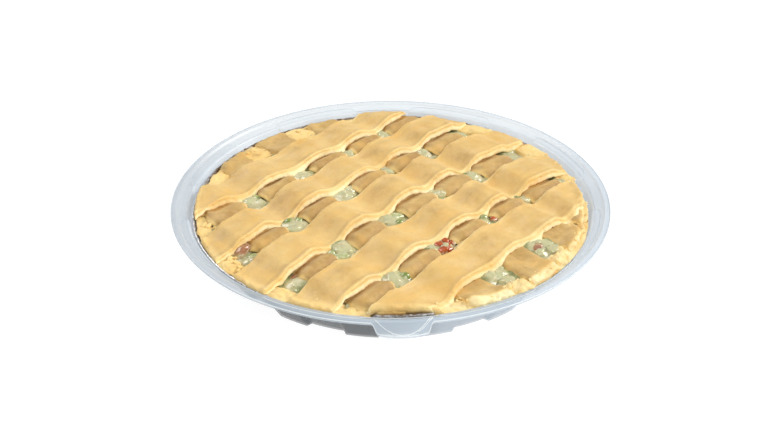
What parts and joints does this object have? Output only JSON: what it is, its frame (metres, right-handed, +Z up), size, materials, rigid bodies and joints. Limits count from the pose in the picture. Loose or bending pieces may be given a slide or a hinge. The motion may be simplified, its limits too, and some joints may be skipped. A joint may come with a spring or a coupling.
{
  "type": "chicken pot pie",
  "caption": "Round pot pie with a laid lattice top over a creamy chicken and vegetable filling, in a foil tin that stands in a clear fluted tray with a pull tab.",
  "frame": {"origin": "centre of the tray's flat bottom, on the surface that it stands on", "axes": "+Z up; the tray's pull tab points along -Y"},
  "size_m": [0.338, 0.3485, 0.0462],
  "materials": {
    "clear_plastic": "clear thin-walled plastic, thermoformed, glossy",
    "foil": "bright aluminium foil, pressed",
    "baked_dough": "baked pastry, golden tan, soft satin",
    "pale_dough": "pale crumbly pastry, matt",
    "cream_sauce": "thick cream sauce with vegetables and meat, wet gloss"
  },
  "bodies": {
    "root": {"tray": "clear_plastic", "tin": "foil", "bottom_crust": "pale_dough", "filling": "cream_sauce", "under_strip_1": "baked_dough", "under_strip_2": "baked_dough", "under_strip_3": "baked_dough", "under_strip_4": "baked_dough", "under_strip_5": "baked_dough", "over_strip_1": "baked_dough", "over_strip_2": "baked_dough", "over_strip_3": "baked_dough", "over_strip_4": "baked_dough", "over_strip_5": "baked_dough"}
  },
  "joints": []
}
